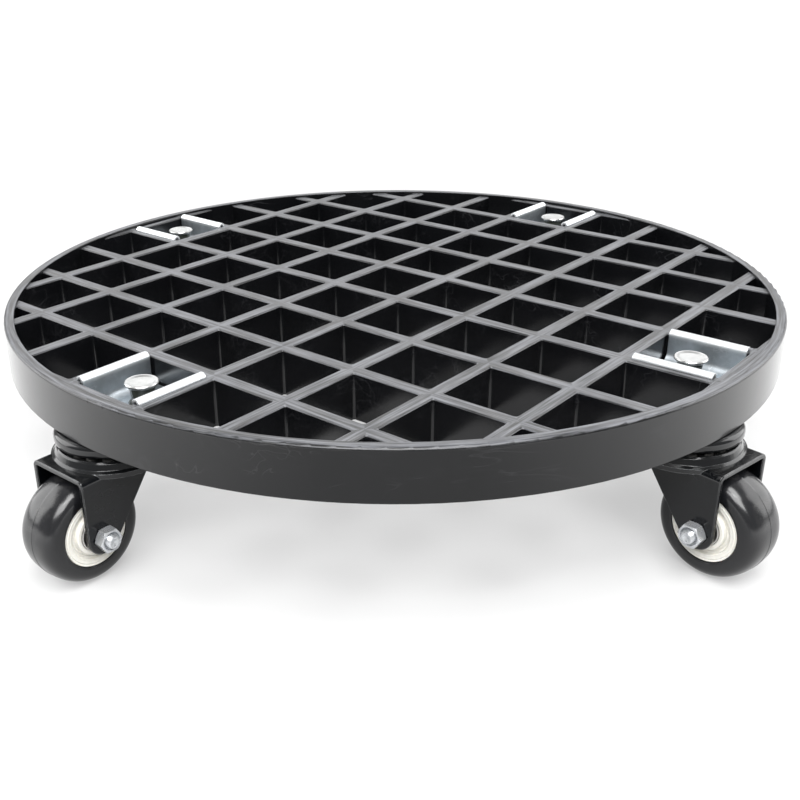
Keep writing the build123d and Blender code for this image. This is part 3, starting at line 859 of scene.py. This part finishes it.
class CADDY_OT_fasteners(bpy.types.Operator):
    """Make the axle nuts and bolts with their cone-cut hexagons and threaded ends"""
    bl_idname = "caddy.fasteners"
    bl_label = "Make Fasteners"

    def execute(self, context):
        zinc = zinc_fastener(context.scene.caddy_metal)
        for station in STATIONS:
            place = wheel_matrix(station, STATIONS[station])
            for name, profile in (("axle_nut", nut_profile), ("axle_bolt", bolt_profile)):
                make_piece(
                    name + "_look_" + station, turned(profile, FASTENER_SEGMENTS), place, zinc,
                    "swivel_" + station, name + "_" + station)
        return {"FINISHED"}


class CADDY_OT_wheels(bpy.types.Operator):
    """Make the treads and the stepped cores of the wheels"""
    bl_idname = "caddy.wheels"
    bl_label = "Make Wheels"

    def execute(self, context):
        looks = context.scene.caddy_wheel
        rubber = tread_rubber(looks)
        core = core_plastic(looks)
        for station in STATIONS:
            place = wheel_matrix(station)
            for name, profile, material, slot in (
                    ("tread", tread_profile, rubber, "black_rubber"),
                    ("wheel_core", core_profile, core, "cream_plastic")):
                make_piece(
                    name + "_look_" + station, turned(profile, WHEEL_SEGMENTS), place, material,
                    "wheel_" + station, name + "_" + station)
        return {"FINISHED"}


class CADDY_OT_stage(bpy.types.Operator):
    """Lay the floor, hang the lights and set up the camera"""
    bl_idname = "caddy.stage"
    bl_label = "Set Stage"

    def execute(self, context):
        looks = context.scene.caddy_stage
        scene = context.scene
        self.lay_floor(scene, looks)
        self.hang_lights(scene)
        self.place_camera(scene, looks)
        scene.view_settings.view_transform = "Standard"
        return {"FINISHED"}

    def lay_floor(self, scene, looks):
        """A wide pale floor that keeps the shadow, glowing in the distance and at the sides of reflections."""
        mesh = bpy.data.meshes.new("Stage floor")
        reach = 30.0
        mesh.from_pydata([(-reach, -reach, 0), (reach, -reach, 0), (reach, reach, 0), (-reach, reach, 0)],
                         [], [(0, 1, 2, 3)])
        floor = bpy.data.objects.new("stage_floor", mesh)
        scene.collection.objects.link(floor)
        made = bpy.data.materials.new("Stage floor")
        made.use_nodes = True
        tree = made.node_tree
        tree.nodes.clear()
        ray = add_node(tree, "ShaderNodeLightPath").outputs
        seen = maths(tree, "MAXIMUM", ray["Is Camera Ray"],
                     maths(tree, "MAXIMUM", ray["Is Glossy Ray"], ray["Is Transmission Ray"]))
        where = add_node(tree, "ShaderNodeTexCoord").outputs["Object"]
        far = add_node(tree, "ShaderNodeVectorMath", {0: where}, operation="LENGTH").outputs["Value"]
        shown = between(tree, far, 0.7, 2.5, looks.floor_glow, 1.0)
        sideways = (math.cos(looks.camera_heading), math.sin(looks.camera_heading), 0.0)
        aside = dot_product(tree, where, sideways)
        cards = between(tree, maths(tree, "ABSOLUTE", aside), 0.08, 0.36, 0.1, looks.side_cards)
        strength = mix_value(tree, ray["Is Camera Ray"], product(tree, seen, cards), shown)
        glow = add_node(tree, "ShaderNodeEmission", {"Color": (1, 1, 1, 1), "Strength": strength})
        matt = add_node(tree, "ShaderNodeBsdfDiffuse", {"Color": shade(looks.floor, 1.0)})
        both = add_node(tree, "ShaderNodeAddShader", {0: glow.outputs[0], 1: matt.outputs[0]})
        add_node(tree, "ShaderNodeOutputMaterial", {"Surface": both.outputs[0]})
        mesh.materials.append(made)

    def hang_lights(self, scene):
        """An even pale world, white to the camera, and five soft boxes."""
        world = bpy.data.worlds.new("Studio")
        scene.world = world
        world.use_nodes = True
        tree = world.node_tree
        tree.nodes.clear()
        ray = add_node(tree, "ShaderNodeLightPath").outputs
        strength = mix_value(tree, ray["Is Camera Ray"], scene.caddy_stage.world_light, 1.0)
        sky = add_node(tree, "ShaderNodeBackground", {"Color": (1, 1, 1, 1), "Strength": strength})
        add_node(tree, "ShaderNodeOutputWorld", {"Surface": sky.outputs[0]})
        heading = scene.caddy_stage.camera_heading
        # Swing from the camera's side and height in degrees, distance and size in metres, power in watts
        boxes = {
            "Back box": (180.0, 36.0, 1.7, (2.4, 1.3), 15.0),
            "Top box": (14.0, 66.0, 1.4, (0.7, 0.6), 14.0),
            "Front box": (-6.0, 44.0, 1.3, (0.9, 0.6), 17.0),
            "Left box": (-98.0, 26.0, 1.2, (0.9, 0.9), 10.0),
            "Right box": (98.0, 26.0, 1.2, (0.9, 0.9), 8.5),
        }
        for name, (swing, height, distance, size, power) in boxes.items():
            lamp = bpy.data.lights.new(name, "AREA")
            lamp.shape = "RECTANGLE"
            lamp.size, lamp.size_y = size
            lamp.energy = power
            box = bpy.data.objects.new(name, lamp)
            around = heading + math.radians(swing)
            up = math.radians(height)
            away = Vector((math.sin(around) * math.cos(up), -math.cos(around) * math.cos(up), math.sin(up)))
            box.location = away * distance
            box.rotation_mode = "QUATERNION"
            box.rotation_quaternion = away.to_track_quat("Z", "Y")
            box.visible_camera = False
            scene.collection.objects.link(box)

    def place_camera(self, scene, looks):
        """The camera at the photograph's place."""
        lens = bpy.data.cameras.new("Camera")
        lens.lens = looks.focal_length
        lens.sensor_width = 36.0
        lens.shift_x = looks.camera_shift
        camera = bpy.data.objects.new("Camera", lens)
        turn = Euler((looks.camera_tilt, 0.0, looks.camera_heading)).to_matrix()
        roll = Matrix.Rotation(looks.camera_roll, 3, "Z")
        camera.matrix_world = Matrix.Translation(looks.camera_place) @ (turn @ roll).to_4x4()
        scene.collection.objects.link(camera)
        scene.camera = camera


class CADDY_PT_looks(bpy.types.Panel):
    """The plant caddy's operators and settings"""
    bl_idname = "CADDY_PT_looks"
    bl_label = "Plant Caddy"
    bl_space_type = "VIEW_3D"
    bl_region_type = "UI"
    bl_category = "Plant Caddy"

    def draw(self, context):
        for operator in OPERATORS:
            self.layout.operator(operator.bl_idname)
        for name, group in SETTINGS.items():
            box = self.layout.box()
            for field in group.__annotations__:
                box.prop(getattr(context.scene, name), field)


SETTINGS = {
    "caddy_deck": CaddyDeckLooks,
    "caddy_metal": CaddyMetalLooks,
    "caddy_wheel": CaddyWheelLooks,
    "caddy_stage": CaddyStageLooks,
}
OPERATORS = (
    CADDY_OT_deck, CADDY_OT_brackets, CADDY_OT_swivels, CADDY_OT_fasteners, CADDY_OT_wheels, CADDY_OT_stage)
CLASSES = (*SETTINGS.values(), *OPERATORS, CADDY_PT_looks)


def register():
    for cls in CLASSES:
        bpy.utils.register_class(cls)
    for name, group in SETTINGS.items():
        setattr(bpy.types.Scene, name, bpy.props.PointerProperty(type=group))


def unregister():
    for name in SETTINGS:
        delattr(bpy.types.Scene, name)
    for cls in reversed(CLASSES):
        bpy.utils.unregister_class(cls)


def main():
    """Registers the add-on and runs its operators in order."""
    register()
    for operator in OPERATORS:
        space, name = operator.bl_idname.split(".")
        getattr(getattr(bpy.ops, space), name)()


if __name__ == "__main__":
    main()
